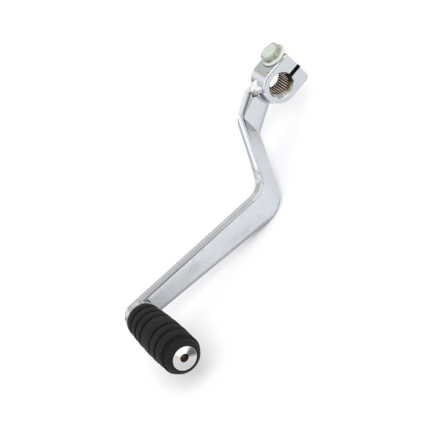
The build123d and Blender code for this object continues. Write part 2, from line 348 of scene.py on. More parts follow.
@dataclass(frozen=True)
class HeadFinish(ChromeFinish):
    """Chrome outside with painted shade on the outboard face and round the bolt's seat and a painted
    highlight along the rim; inside the bore thin plating over warm, oily steel teeth, with painted
    highlights on the tooth lands, painted shade in the grooves and the slot, and a painted glare and
    painted shade at the mouth.
    """

    name: str = "head_chrome"
    # Tooth lands in a lit warm tone, lit more towards the mouth (painted highlight), and near-black
    # grooves (painted shade).
    crest: Colour = (0.76, 0.61, 0.52)
    gullet_shade: Colour = (0.010, 0.005, 0.006)
    mouth: Colour = (0.62, 0.52, 0.43)
    # Painted shade on the pinch slot's faces.
    slot_shade: Colour = (0.045, 0.044, 0.046)
    # Painted highlight on one side of the bore's mouth.
    glare: Colour = (1.0, 1.0, 1.0)
    glare_towards: Pair = (-0.51, -0.86)
    glare_spread: Pair = (0.72, 0.93)
    # Painted shade on the other side of the bore's mouth.
    shaded: Colour = (0.13, 0.11, 0.10)
    shaded_towards: Pair = (0.97, -0.25)
    shaded_spread: Pair = (0.80, 0.93)
    # Painted shade: the outboard face in a darker, even tone; painted highlight along the rim behind
    # it.
    face: Colour = (0.505, 0.525, 0.55)
    edge: Colour = (0.93, 0.93, 0.93)
    # Painted shade round the bolt's seat.
    seat_shade: Colour = (0.13, 0.14, 0.11)
    teeth: int = 28
    tooth_land: Pair = (-0.1, -0.8)
    tooth_depth: Pair = mm(5.49, 5.57)
    tooth_light: Pair = mm(-6.5, 2.0)
    mouth_rim: Pair = mm(6.62, 6.52)
    mouth_floor: Pair = mm(3.65, 3.55)
    slot_walls: tuple = mm(-1.27, -1.10, 1.10, 1.27)
    slot_from: Pair = mm(2.0, 3.0)
    edge_under: Pair = mm(0.85, 0.6)
    face_under: Pair = mm(0.25, 0.05)
    seat_shade_reach: Pair = mm(0.75, 0.1)

    def sockets(self, bench: NodeBench, place: Wire) -> dict:
        """The bore and the slot's faces differ from the outside.

        Args:
            bench: The tree builder.
            place: Object coordinates.

        Returns:
            Values and wires of the shader.
        """
        made = super().sockets(bench, place)
        along, across, up = bench.split(place)
        radius = across.hypot(up)
        inside = radius.step(*self.mouth_rim)
        wear = bench.noise(place, 900.0, 3.0)
        turn = bench.add("ShaderNodeMath", {"operation": "ARCTAN2"}, {0: up, 1: across})
        phase = bench.add("ShaderNodeMath", {"operation": "COSINE"}, {0: turn * float(self.teeth)})
        # Painted highlight on the tooth lands, brighter towards the mouth, and painted shade in the
        # grooves.
        land = phase.step(*self.tooth_land) * (0.35 + 0.65 * along.step(*self.tooth_light))
        teeth = bench.mix(land * (1.0 - radius.step(*self.tooth_depth)), self.gullet_shade, self.crest)
        # Painted highlight and painted shade on opposite sides of the bore's mouth.
        glare = bench.facing(across, up, self.glare_towards).step(*self.glare_spread)
        shaded = bench.facing(across, up, self.shaded_towards).step(*self.shaded_spread)
        mouth = bench.mix(glare, self.mouth, self.glare)
        mouth = bench.mix(shaded, mouth, self.shaded)
        bore = bench.mix(along.step(*self.mouth_floor), mouth, teeth)
        # Painted shade on the pinch slot's faces.
        slot = up.band(*self.slot_walls) * across.step(*self.slot_from)
        colour = self.outside(bench, place, made["Base Color"])
        made["Base Color"] = bench.layered(colour, ((inside, bore), (slot, self.slot_shade)))
        made["Roughness"] = made["Roughness"] + inside * (0.10 + 0.15 * wear)
        return made

    def outside(self, bench: NodeBench, place: Wire, colour: Wire) -> Wire:
        """The plating outside the bore: the outboard face in a darker, even tone (painted shade), a
        painted highlight along its rim and painted shade round the bolt's seat.

        Args:
            bench: The tree builder.
            place: Object coordinates.
            colour: The plain plating's colour.

        Returns:
            The colour.
        """
        along, across, up = bench.split(place)
        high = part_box("clamp_head")[1]
        under = high.x - along
        bolt_low, bolt_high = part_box("pinch_bolt")
        flange = (bolt_high.x - bolt_low.x) / 2
        off_flange = off_bolt(along, across) - flange
        # Painted shade round the bolt's seat, on the head's top.
        seat_shade_mask = off_flange.step(*self.seat_shade_reach) * up.step(0.0, high.z)
        layers = (
            # Painted highlight along the rim, then painted shade on the outboard face.
            (under.step(*self.edge_under) * 0.8, self.edge),
            (under.step(*self.face_under) * 0.9, self.face),
            (seat_shade_mask * 0.85, self.seat_shade),
        )
        return bench.layered(colour, layers)


@dataclass(frozen=True)
class ArmFinish(ChromeFinish):
    """Chrome with painted shade just past the first bend and towards the peg, a painted highlight and
    painted shade lines along the edges, and stains here and there.
    """

    name: str = "arm_chrome"
    # Painted shade on the outboard face just past the first bend.
    bend: Colour = (0.40, 0.41, 0.44)
    bend_from: float = -23.9 * MM
    bend_to: float = -35.0 * MM
    past_bend: Pair = mm(-23.5, -24.3)
    near: Pair = mm(-43.2, -40.2)
    far: Pair = mm(-48.2, -58.2)
    lean: float = 0.23
    face: Pair = mm(0.9, 0.4)
    # Painted highlight along the strip.
    strip: Colour = (0.82, 0.83, 0.85)
    strip_depth: tuple = mm(1.5, 2.1, 4.0, 4.6)
    # Painted shade lines along the strip's sides, beside the bulge and along the lower edges.
    line: Colour = (0.30, 0.31, 0.32)
    line_depth: tuple = mm(0.6, 1.0, 1.3, 1.7)
    back_depth: Pair = mm(4.5, 5.0)
    crease: tuple = mm(0.5, 1.1, 1.4, 2.0)
    crease_depth: Pair = mm(0.8, 1.2)
    crease_height: Pair = mm(-10.1, -9.4)
    # Painted shade on the outboard face towards the peg.
    tail: Colour = (0.49, 0.50, 0.53)
    tail_place: Pair = mm(-80.0, -118.0)
    # Painted shade along the edge near the peg.
    olive: Colour = (0.36, 0.36, 0.34)
    olive_depth: tuple = mm(0.2, 0.7, 1.4, 2.4)
    foot_normal: Pair = (-0.211, -0.9775)
    foot_place: Pair = mm(32.36, 33.06)
    root_normal: Pair = (-0.469, 0.883)
    heel_place: Pair = mm(0.9, 0.0)
    # Painted shade band along the upper part of the root's face.
    flank: Colour = (0.30, 0.31, 0.285)
    flank_place: Pair = mm(7.5, 8.2)
    flank_start: float = -8.0 * MM
    flank_taper: float = 0.18
    mark: Colour = (0.36, 0.36, 0.31)
    mark_share: float = 0.34
    mark_drift: Triple = (60.0, 60.0, 140.0)

    def depth(self, bench: NodeBench, along: Wire, across: Wire) -> Wire:
        """How far a point lies under the bent outboard face.

        Args:
            bench: The tree builder.
            along: The point's X.
            across: Its Y.

        Returns:
            The depth in metres.
        """
        low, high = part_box("lever_arm")
        bends = {"From Min": self.bend_from, "From Max": Arm.bend_2_y}
        heights = {"To Min": low.x + Arm.bar, "To Max": high.x}
        face = bench.add("ShaderNodeMapRange", {}, {"Value": across, **bends, **heights})
        past = across.step(self.bend_from + MM, self.bend_from - MM)
        before = across.step(Arm.bend_2_y - MM, Arm.bend_2_y + MM)
        return (face - along) * (1.0 - self.lean * past * before)

    def sockets(self, bench: NodeBench, place: Wire) -> dict:
        """A painted highlight on the strip, painted shade lines along the strip and edges, painted
        shade past the bend and towards the peg, and a few stain marks.

        Args:
            bench: The tree builder.
            place: Object coordinates.

        Returns:
            Values and wires of the shader.
        """
        made = super().sockets(bench, place)
        along, across, up = bench.split(place)
        depth = self.depth(bench, along, across)
        past = across.step(*self.past_bend)
        near = across.step(*self.near)
        far = across.step(*self.far)
        face = depth.step(*self.face)
        # Painted shade on the outboard face just past the first bend, fading further on.
        dull = past * face * across.step(self.bend_to, self.bend_from) ** 1.4
        # Painted highlight along the strip.
        strip = depth.band(*self.strip_depth) * near * (0.35 + 0.65 * past)
        # Painted shade lines along the strip's sides.
        lines = (depth.band(*self.line_depth) + depth.step(*self.back_depth)).at_most(1.0)
        off = across - Arm.bulge_y
        # Painted shade lines beside the bulge.
        crease = ((off * off) ** 0.5).band(*self.crease) * depth.step(*self.crease_depth)
        # Painted shade line along the lower edge near the peg.
        foot = across * self.foot_normal[0] + up * self.foot_normal[1]
        # Painted shade along the root's lower edge.
        root = across * self.root_normal[0] + up * self.root_normal[1]
        # Painted shade band along the upper part of the root's face.
        flank = (root + (across - self.flank_start) * self.flank_taper).step(*self.flank_place)
        drift = bench.noise(bench.scaled(place, self.mark_drift), 1.0, 4.0)
        specks = bench.noise(place, 330.0, 4.0).step(0.60, 0.72)
        marks = (drift.step(0.54, 0.72) + specks * 0.7).at_most(1.0)
        layers = (
            (dull * 0.8, self.bend),
            (strip, self.strip),
            (lines * 0.5 * near, self.line),
            (crease * up.step(*self.crease_height) * 0.4, self.line),
            # Painted shade towards the peg.
            (across.step(*self.tail_place) * face * 0.8, self.tail),
            # Painted shade along the edge near the peg.
            (depth.band(*self.olive_depth) * 0.6 * far, self.olive),
            (foot.step(*self.foot_place) * far * 0.7, self.line),
            (root.step(*self.heel_place) * (1.0 - past) * 0.35, self.line),
            (flank * (1.0 - past) * face * 0.7, self.flank),
            (marks * self.mark_share, self.mark),
        )
        made["Base Color"] = bench.layered(made["Base Color"], layers)
        return made


@dataclass(frozen=True)
class BeadFinish(ChromeFinish):
    """Plating over a weld bead, in lighter tones than the other chrome (painted highlight), with burnt
    flux along its foot.
    """

    name: str = "bead_chrome"
    # Lighter tones than the other chrome: painted highlight on the beads.
    bright: Colour = (0.86, 0.87, 0.87)
    dull: Colour = (0.78, 0.79, 0.78)
    flux: Colour = (0.30, 0.23, 0.09)
    soot: Colour = (0.05, 0.045, 0.04)
    foot: Pair = mm(6.4, 8.4)
    downhill: Triple = (0.0, -0.883, -0.469)

    def sockets(self, bench: NodeBench, place: Wire) -> dict:
        """Flux and soot gather towards the bead's foot.

        Args:
            bench: The tree builder.
            place: Object coordinates.

        Returns:
            Values and wires of the shader.
        """
        made = super().sockets(bench, place)
        foot = bench.dot(place, self.downhill).step(*self.foot)
        spots = bench.noise(place, 620.0, 3.0)
        layers = (
            (foot * spots.step(0.46, 0.56), self.flux),
            (foot * spots.step(0.58, 0.64), self.soot),
        )
        made["Base Color"] = bench.layered(made["Base Color"], layers)
        made["Roughness"] = made["Roughness"] + foot * 0.2
        return made


@dataclass(frozen=True)
class PegFinish(ChromeFinish):
    """Chrome with turning rings on the cap, painted reflections in light and dark sectors on the cap's
    face, and a centre mark near-black towards its walls (painted shade) and brown at its floor.
    """

    name: str = "peg_chrome"
    mark_radius: float = 2.15 * MM
    # Centre mark: near-black towards its walls (painted shade in the recess), brown at its floor.
    mark_edge: Colour = (0.035, 0.022, 0.02)
    mark_floor: Colour = (0.17, 0.10, 0.09)
    # Painted reflections: grey, warm, near-black and white sectors on the cap's face.
    sectors: tuple = (
        ((-0.60, -0.80), -0.5, 0.9, (0.50, 0.49, 0.48)),
        ((-0.60, 0.80), 0.55, 1.0, (0.58, 0.54, 0.47)),
        ((0.99, -0.15), 0.72, 1.0, (0.06, 0.06, 0.065)),
        ((0.40, 0.91), 0.60, 1.0, (0.98, 0.98, 0.98)),
    )
    sector_rim: Pair = mm(6.9, 5.4)
    sector_share: float = 0.9
    warm: Colour = (0.78, 0.68, 0.52)
    cap_from: Pair = mm(84.0, 84.2)
    ring_pitch: float = 0.34 * MM
    ring_depth: float = 0.004 * MM

    def sockets(self, bench: NodeBench, place: Wire) -> dict:
        """The cap's face differs from the shank.

        Args:
            bench: The tree builder.
            place: Object coordinates.

        Returns:
            Values and wires of the shader.
        """
        made = super().sockets(bench, place)
        along, across, up = bench.split(place)
        _, axis_y, axis_z = middle("gear_peg")
        across = across - axis_y
        up = up - axis_z
        radius = across.hypot(up)
        cap = along.step(*self.cap_from)
        turns = radius * (2 * math.pi / self.ring_pitch)
        rings = bench.add("ShaderNodeMath", {"operation": "SINE"}, {0: turns})
        rust = bench.noise(place, 1500.0, 3.0)
        worn = bench.noise(place, 380.0, 3.0).step(0.48, 0.66) * cap
        colour = bench.mix(worn * 0.4, made["Base Color"], self.warm)
        # Painted reflection sectors on the cap's face.
        for towards, start, full, shade in self.sectors:
            sector = bench.facing(across, up, towards).step(start, full) * cap
            share = sector * radius.step(*self.sector_rim) * self.sector_share
            colour = bench.mix(share, colour, shade)
        # Centre mark: painted shade towards its walls, brown at its floor.
        mark = bench.mix(radius.step(self.mark_radius * 0.55, 0.0), self.mark_edge, self.mark_floor)
        inside = radius.step(self.mark_radius + 0.1 * MM, self.mark_radius - 0.1 * MM) * cap
        made["Base Color"] = bench.mix(inside, colour, mark)
        made["Roughness"] = made["Roughness"] + inside * 0.3 + 0.1 * rust * cap
        made["Normal"] = bench.bump(rings * cap, self.ring_depth, made["Normal"])
        return made


@dataclass(frozen=True)
class ZincFinish(Finish):
    """Zinc plate with a clear passivate: pale, faintly green, yellowing here and there."""

    name: str = "zinc_plate"
    pale: Colour = (0.67, 0.74, 0.67)
    warm: Colour = (0.70, 0.69, 0.54)
    grey: Colour = (0.50, 0.54, 0.48)
    # Painted shade on the hexagon's sides and on its top chamfer.
    side: Colour = (0.27, 0.29, 0.23)
    side_height: tuple = mm(1.2, 1.8, 3.6, 4.2)
    chamfer: Colour = (0.29, 0.33, 0.29)
    chamfer_radius: Pair = mm(3.75, 4.25)
    chamfer_height: Pair = mm(3.3, 3.9)
    metallic: float = 0.72
    roughness: float = 0.22
    turning: Triple = (120.0, 120.0, 2600.0)
    grain: float = 0.000006

    def sockets(self, bench: NodeBench, place: Wire) -> dict:
        """Clouded plate, with painted shade on the hexagon's sides and top chamfer.

        Args:
            bench: The tree builder.
            place: Object coordinates.

        Returns:
            Values and wires of the shader.
        """
        clouds = bench.noise(place, 320.0, 5.0)
        grains = bench.noise(place, 1800.0, 3.0)
        turned_marks = bench.noise(bench.scaled(place, self.turning), 1.0, 2.0)
        along, across, up = bench.split(place)
        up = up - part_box("clamp_head")[1].z
        chamfer = off_bolt(along, across).step(*self.chamfer_radius)
        layers = (
            (grains.step(0.62, 0.8) * 0.6, self.grey),
            # Painted shade on the hexagon's sides and top chamfer.
            (up.band(*self.side_height) * (0.55 + 0.45 * clouds.step(0.35, 0.6)), self.side),
            (chamfer * up.step(*self.chamfer_height) * 0.75, self.chamfer),
        )
        return {
            "Base Color": bench.layered(
                bench.mix(clouds.step(0.45, 0.72), self.pale, self.warm), layers
            ),
            "Metallic": self.metallic,
            "Roughness": self.roughness + 0.14 * clouds + 0.06 * turned_marks,
            "Normal": bench.bump(grains + turned_marks, self.grain),
        }


@dataclass(frozen=True)
class RubberFinish(Finish):
    """Moulded black rubber: a fine satin skin with paler worn patches and flecks of dust."""

    name: str = "moulded_rubber"
    base: Colour = (0.0055, 0.0053, 0.0060)
    worn: Colour = (0.010, 0.0098, 0.0106)
    dust: Colour = (0.026, 0.025, 0.024)
    roughness: float = 0.55
    specular: float = 0.22
    grain: float = 0.000022

    def sockets(self, bench: NodeBench, place: Wire) -> dict:
        """The same skin all over.

        Args:
            bench: The tree builder.
            place: Object coordinates.

        Returns:
            Values and wires of the shader.
        """
        skin = bench.noise(place, 2600.0, 4.0)
        patches = bench.noise(place, 120.0, 4.0)
        flecks = bench.noise(place, 1300.0, 2.0)
        colour = bench.mix(patches.step(0.35, 0.75), self.base, self.worn)
        return {
            "Base Color": bench.mix(flecks.step(0.66, 0.78) * 0.5, colour, self.dust),
            "Metallic": 0.0,
            "Roughness": self.roughness + 0.16 * patches + 0.08 * skin,
            "Specular IOR Level": self.specular,
            "Normal": bench.bump(skin + 0.6 * flecks, self.grain),
        }


@dataclass(frozen=True)
class FloorFinish(Finish):
    """Plain pale board."""

    name: str = "pale_board"
    light: Colour = (0.93, 0.93, 0.94)
    shade: Colour = (0.91, 0.91, 0.925)
    roughness: float = 0.85
    specular: float = 0.1

    def sockets(self, bench: NodeBench, place: Wire) -> dict:
        """Two close tones in large soft patches.

        Args:
            bench: The tree builder.
            place: Object coordinates.

        Returns:
            Values and wires of the shader.
        """
        return {
            "Base Color": bench.mix(bench.noise(place, 9.0, 3.0), self.light, self.shade),
            "Roughness": self.roughness,
            "Specular IOR Level": self.specular,
        }


def off_bolt(along: Wire, across: Wire) -> Wire:
    """A point's distance from the pinch bolt's axis, by its X and Y."""
    axis_x, axis_y, _ = middle("pinch_bolt")
    return (along - axis_x).hypot(across - axis_y)


# ---------------------------------------------------------------- mesh helpers


def rounded(corners: Sequence[Pair], radii: Sequence[float], steps: int = 6) -> list[Pair]:
    """A polyline whose inner corners are replaced by arcs.

    Args:
        corners: The corner points.
        radii: One radius for each inner corner; 0 keeps it sharp.
        steps: Segments in each arc.

    Returns:
        The points of the rounded line.
    """
    points = [corners[0]]
    for index, radius in enumerate(radii, start=1):
        before, corner, after = (np.array(corners[index + k]) for k in (-1, 0, 1))
        if radius <= 0:
            points.append(tuple(corner))
            continue
        back = (before - corner) / np.linalg.norm(before - corner)
        ahead = (after - corner) / np.linalg.norm(after - corner)
        half = math.acos(float(np.clip(back @ ahead, -1, 1))) / 2
        inward = (back + ahead) / np.linalg.norm(back + ahead)
        centre = corner + inward * radius / math.sin(half)
        start = corner + back * radius / math.tan(half) - centre
        finish = corner + ahead * radius / math.tan(half) - centre
        sweep = math.pi - 2 * half
        for step in range(steps + 1):
            share = step / steps
            one = math.sin((1 - share) * sweep) / math.sin(sweep)
            two = math.sin(share * sweep) / math.sin(sweep)
            points.append(tuple(centre + one * start + two * finish))
    points.append(corners[-1])
    return points


def make_piece(
    name: str,
    skin: Skin,
    finish: bpy.types.Material,
    replaced: Sequence[str] = (),
    body: Body = Body.LEVER,
    sharp_angle: float = 40.0,
) -> bpy.types.Object:
    """Make one mesh piece, dress it and let it ride.

    Args:
        name: The piece's name.
        skin: Points in the row frame, in metres, and the vertex indices of each face.
        finish: Its material.
        replaced: The nodes it stands for.
        body: The body it rides on.
        sharp_angle: Edges that bend more than this, in degrees, stay sharp.

    Returns:
        The new object.
    """
    mesh = bpy.data.meshes.new(name)
    mesh.from_pydata([tuple(v) for v in skin[0]], [], skin[1])
    shape = bmesh.new()
    shape.from_mesh(mesh)
    bmesh.ops.remove_doubles(shape, verts=shape.verts, dist=MERGE)
    bmesh.ops.recalc_face_normals(shape, faces=shape.faces)
    shape.to_mesh(mesh)
    shape.free()
    mesh.shade_smooth()
    mesh.set_sharp_from_angle(angle=math.radians(sharp_angle))
    piece = bpy.data.objects.new(name, mesh)
    bpy.context.scene.collection.objects.link(piece)
    weigh = piece.modifiers.new("even_normals", "WEIGHTED_NORMAL")
    weigh.keep_sharp = True
    mesh.materials.append(finish)
    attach(piece, body.value)
    if replaced:
        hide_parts(*replaced)
    LOG.info("piece %s: %d faces", name, len(mesh.polygons))
    return piece


def ring_faces(rings: int, around: int) -> list[list[int]]:
    """Quads between successive closed rings of points.

    Args:
        rings: How many rings.
        around: Points in each ring.

    Returns:
        The faces.
    """
    faces = []
    for base in range(0, (rings - 1) * around, around):
        for step in range(around):
            ahead = (step + 1) % around
            faces.append([base + step, base + ahead, base + around + ahead, base + around + step])
    return faces


def end_faces(rings: int, around: int) -> list[list[int]]:
    """The two faces that close a skin of rings at its ends."""
    last = (rings - 1) * around
    return [list(range(around)), list(range(last, last + around))]


def round_skin(rows: Sequence[Sequence[Pair]], place: Matrix) -> Skin:
    """A skin round the local Z axis of a frame.

    Args:
        rows: Rings of (along, radius) points, spread evenly round the axis.
        place: Where the local axis is in the row frame.

    Returns:
        Vertices and faces.
    """
    around = len(rows[0])
    vertices = []
    for row in rows:
        for step, (along, radius) in enumerate(row):
            turn = 2 * math.pi * step / around
            local = Vector((radius * math.cos(turn), radius * math.sin(turn), along))
            vertices.append(place @ local)
    return vertices, ring_faces(len(rows), around)


def turned(profile: Sequence[Pair], segments: int, place: Matrix) -> Skin:
    """A turned skin: (along, radius) points taken round the local Z axis of a frame."""
    return round_skin([[point] * segments for point in profile], place)


def axis_x(place: Vector) -> Matrix:
    """A frame at place whose local Z runs along the row's X."""
    return Matrix.Translation(place) @ Matrix.Rotation(math.radians(90), 4, "Y")


# ---------------------------------------------------------------- arm


@dataclass
class Station:
    """One cross-section of the arm, on the outboard face; tip holds its angles on the round end."""

    x: float
    y_top: float = 0.0
    y_bottom: float = 0.0
    normal: Pair = (1.0, 0.0)
    tip: Pair | None = None


@dataclass
class Arm:
    """The flat bar with its two bends, tapering to a round end."""

    bar: float = 5.5 * MM
    edge: float = 1.45 * MM
    edge_depth: float = 1.35 * MM
    edge_places: tuple = mm(10.0, 22.0, 27.0, 42.0, 62.0, 85.0, 105.0, 122.0)
    edge_widths: tuple = mm(2.9, 2.8, 1.7, 1.7, 1.5, 2.4, 3.2, 3.0)
    bend_1_y: float = -23.2 * MM
    bend_2_y: float = -44.2 * MM
    inner_bend_1: float = 2.2 * MM
    inner_bend_2: float = 9.0 * MM
    root_flat: float = 0.75
    root_angle: float = 28.0
    root_width: float = 13.6 * MM
    root_offset: float = 5.1 * MM
    root_start: float = 8.4 * MM
    knee_along: float = 43.0 * MM
    knee_lean: float = 9.2 * MM
    knee_top_r: float = 20.0 * MM
    knee_bottom_r: float = 38.0 * MM
    edge_steps: int = 9
    column: int = 5
    knee_steps: int = 24
    root_steps: int = 7
    joggle_steps: int = 12
    taper_steps: int = 40
    bend_steps: int = 14
    tip_steps: int = 14
    bulge_y: float = -41.6 * MM
    bulge_half: float = 1.0 * MM
    bulge_rise: float = 0.9 * MM
    finish: ArmFinish = field(default_factory=ArmFinish)

    def __post_init__(self) -> None:
        """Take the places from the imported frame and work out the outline."""
        low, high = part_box("lever_arm")
        self.face_x = low.x + self.bar
        self.outboard_x = high.x
        self.peg = middle("gear_peg")[1:]
        self.tip_r = self.peg[0] - low.y
        top = self.root_offset + self.root_width / 2
        bottom = self.root_offset - self.root_width / 2
        self.root_top = self.root_point(self.root_start, top)
        self.root_bottom = self.root_point(self.root_start, bottom)
        knee_top = self.root_point(self.knee_along, top)
        knee_bottom = self.root_point(self.knee_along + self.knee_lean, bottom)
        self.tip_top = self.tangent(knee_top, -1)
        self.tip_bottom = self.tangent(knee_bottom, 1)
        upper = (self.root_top, knee_top, self.tip_top)
        lower = (self.root_bottom, knee_bottom, self.tip_bottom)
        self.top_line = np.array(rounded(upper, [self.knee_top_r], self.knee_steps))
        self.bottom_line = np.array(rounded(lower, [self.knee_bottom_r], self.knee_steps))

    def root_point(self, along: float, across: float) -> Pair:
        """A side-view point by its distance along the root and across it.

        Args:
            along: Distance along the root, away from the bore.
            across: Distance up across it.

        Returns:
            The point as (y, z).
        """
        turn = math.radians(self.root_angle)
        return (
            -along * math.cos(turn) - across * math.sin(turn),
            -along * math.sin(turn) + across * math.cos(turn),
        )

    def tangent(self, start: Pair, side: int) -> Pair:
        """Where the line from start touches the round end, on its side +1 or -1.

        Args:
            start: The point as (y, z).
            side: +1 or -1.

        Returns:
            The touching point as (y, z).
        """
        dy, dz = self.peg[0] - start[0], self.peg[1] - start[1]
        reach = math.sqrt(dy * dy + dz * dz - self.tip_r**2)
        turn = math.atan2(dz, dy) + side * math.atan2(self.tip_r, reach)
        return (start[0] + reach * math.cos(turn), start[1] + reach * math.sin(turn))

    @staticmethod
    def read(line: np.ndarray, y: float) -> Pair:
        """Height of an outline at y, and the length of its normal over the normal's Z part.

        Args:
            line: Outline points, running towards -Y.
            y: Where to read it.

        Returns:
            Height and stretch.
        """
        height = float(np.interp(y, line[::-1, 0], line[::-1, 1]))
        near = int(np.clip(np.searchsorted(-line[:, 0], -y), 1, len(line) - 1))
        dy, dz = line[near] - line[near - 1]
        return height, math.hypot(dy, dz) / abs(dy)

    def stations(self) -> list[Station]:
        """Cross-sections from the root to the round end.

        Returns:
            The cross-sections.
        """
        found = []
        flat_from = self.bend_1_y * self.root_flat
        for share in np.linspace(0, 1, self.root_steps):
            ends = [y + (flat_from - y) * share for y in (self.root_top[0], self.root_bottom[0])]
            found.append(Station(self.face_x, *map(float, ends)))
        turn = math.atan2(self.outboard_x - self.face_x, self.bend_1_y - self.bend_2_y)
        heading = (math.sin(turn), -math.cos(turn))
        outer = self.inner_bend_2 + self.bar
        inner_corner = (self.face_x, self.bend_1_y)
        outer_corner = (self.outboard_x, self.bend_2_y)
        first = self.bend_arc(inner_corner, (0, -1), self.inner_bend_1, turn)
        second = self.bend_arc(outer_corner, heading, outer, -turn)
        start, finish = first[-1], second[0]
        found += first
        for share in np.linspace(0, 1, self.joggle_steps)[1:-1]:
            x = start.x + (finish.x - start.x) * share
            y = start.y_top + (finish.y_top - start.y_top) * share
            found.append(Station(x, y, y, start.normal))
        found += second
        last = found[-1].y_top
        for share in np.linspace(0, 1, self.taper_steps)[1:]:
            ends = [last + (y - last) * share for y in (self.tip_top[0], self.tip_bottom[0])]
            found.append(Station(self.outboard_x, *map(float, ends)))
        top_turn = math.atan2(self.tip_top[1] - self.peg[1], self.tip_top[0] - self.peg[0])
        low_turn = math.atan2(self.tip_bottom[1] - self.peg[1], self.tip_bottom[0] - self.peg[0])
        for step in range(1, self.tip_steps + 1):
            share = step / self.tip_steps
            upper = top_turn + (math.pi - top_turn) * share
            lower = low_turn + (-math.pi - low_turn) * share
            found.append(Station(self.outboard_x, tip=(upper, lower)))
        return found

    def bend_arc(
        self, corner: Pair, before: Pair, radius: float, turn: float
    ) -> list[Station]:
        """Cross-sections round one bend of the outboard face.

        Args:
            corner: Where the two straight faces would meet, as (x, y).
            before: Heading before the bend.
            radius: Radius of the outboard face.
            turn: Signed angle of the bend.

        Returns:
            The stations.
        """
        reach = radius * math.tan(abs(turn) / 2)
        start = np.array(corner) - reach * np.array(before)
        side = np.array((-before[1], before[0])) * math.copysign(1, turn)
        centre = start + side * radius
        found = []
        for step in range(self.bend_steps + 1):
            angle = turn * step / self.bend_steps
            spoke = Matrix.Rotation(angle, 2) @ Vector(start - centre)
            x, y = centre + np.array(spoke)
            heading = Matrix.Rotation(angle, 2) @ Vector(before)
            found.append(Station(float(x), float(y), float(y), (-heading[1], heading[0])))
        return found

    def rim(self, y: float) -> list[Pair]:
        """(depth below the outboard face, inset from the outline) across the bar's edge at y.

        Args:
            y: Where along the arm.

        Returns:
            The edge, from the outboard face to the inboard one.
        """
        steps = [math.pi / 2 * k / self.edge_steps for k in range(self.edge_steps + 1)]
        wide = float(np.interp(-y, self.edge_places, self.edge_widths))
        r, deep = self.edge, self.edge_depth
        front = [(deep * (1 - math.cos(a)), wide * (1 - math.sin(a))) for a in steps]
        back = [(self.bar - r + r * math.sin(a), r * (1 - math.cos(a))) for a in steps]
        return front + back

    def rim_point(self, station: Station, depth: float, inset: float, upper: bool) -> Vector:
        """One point of a cross-section's rounded edge.

        Args:
            station: The cross-section.
            depth: Depth below the outboard face.
            inset: Distance in from the outline.
            upper: Whether it is on the upper edge.

        Returns:
            The point in the row frame.
        """
        nx, ny = station.normal
        if station.tip is not None:
            turn = station.tip[0 if upper else 1]
            reach = self.tip_r - inset
            y = self.peg[0] + reach * math.cos(turn)
            return Vector((station.x - depth, y, self.peg[1] + reach * math.sin(turn)))
        y = (station.y_top if upper else station.y_bottom) - depth * ny
        height, stretch = self.read(self.top_line if upper else self.bottom_line, y)
        if upper:
            swell = math.sin(math.pi * min(1.0, max(0.0, depth / self.bar)))
            swell *= math.exp(-(((y - self.bulge_y) / self.bulge_half) ** 2))
            height += self.bulge_rise * swell
        return Vector((station.x - depth * nx, y, height + inset * stretch * (-1 if upper else 1)))

    def build(self) -> list[bpy.types.Object]:
        """Build the arm.

        Returns:
            The piece.
        """
        vertices = []
        stations = self.stations()
        for station in stations:
            rim = self.rim(self.peg[0] if station.tip else station.y_top)
            upper = [self.rim_point(station, d, i, True) for d, i in rim]
            lower = [self.rim_point(station, d, i, False) for d, i in reversed(rim)]
            shares = [k / (self.column + 1) for k in range(1, self.column + 1)]
            back = [upper[-1].lerp(lower[0], s) for s in shares]
            front = [lower[-1].lerp(upper[0], s) for s in shares]
            vertices += upper + back + lower + front
        around = len(vertices) // len(stations)
        skin = (vertices, ring_faces(len(stations), around) + [list(range(around))[::-1]])
        finish = self.finish.material()
        return [make_piece("arm_bar", skin, finish, ["lever_arm"], sharp_angle=60.0)]


# ---------------------------------------------------------------- head and welds


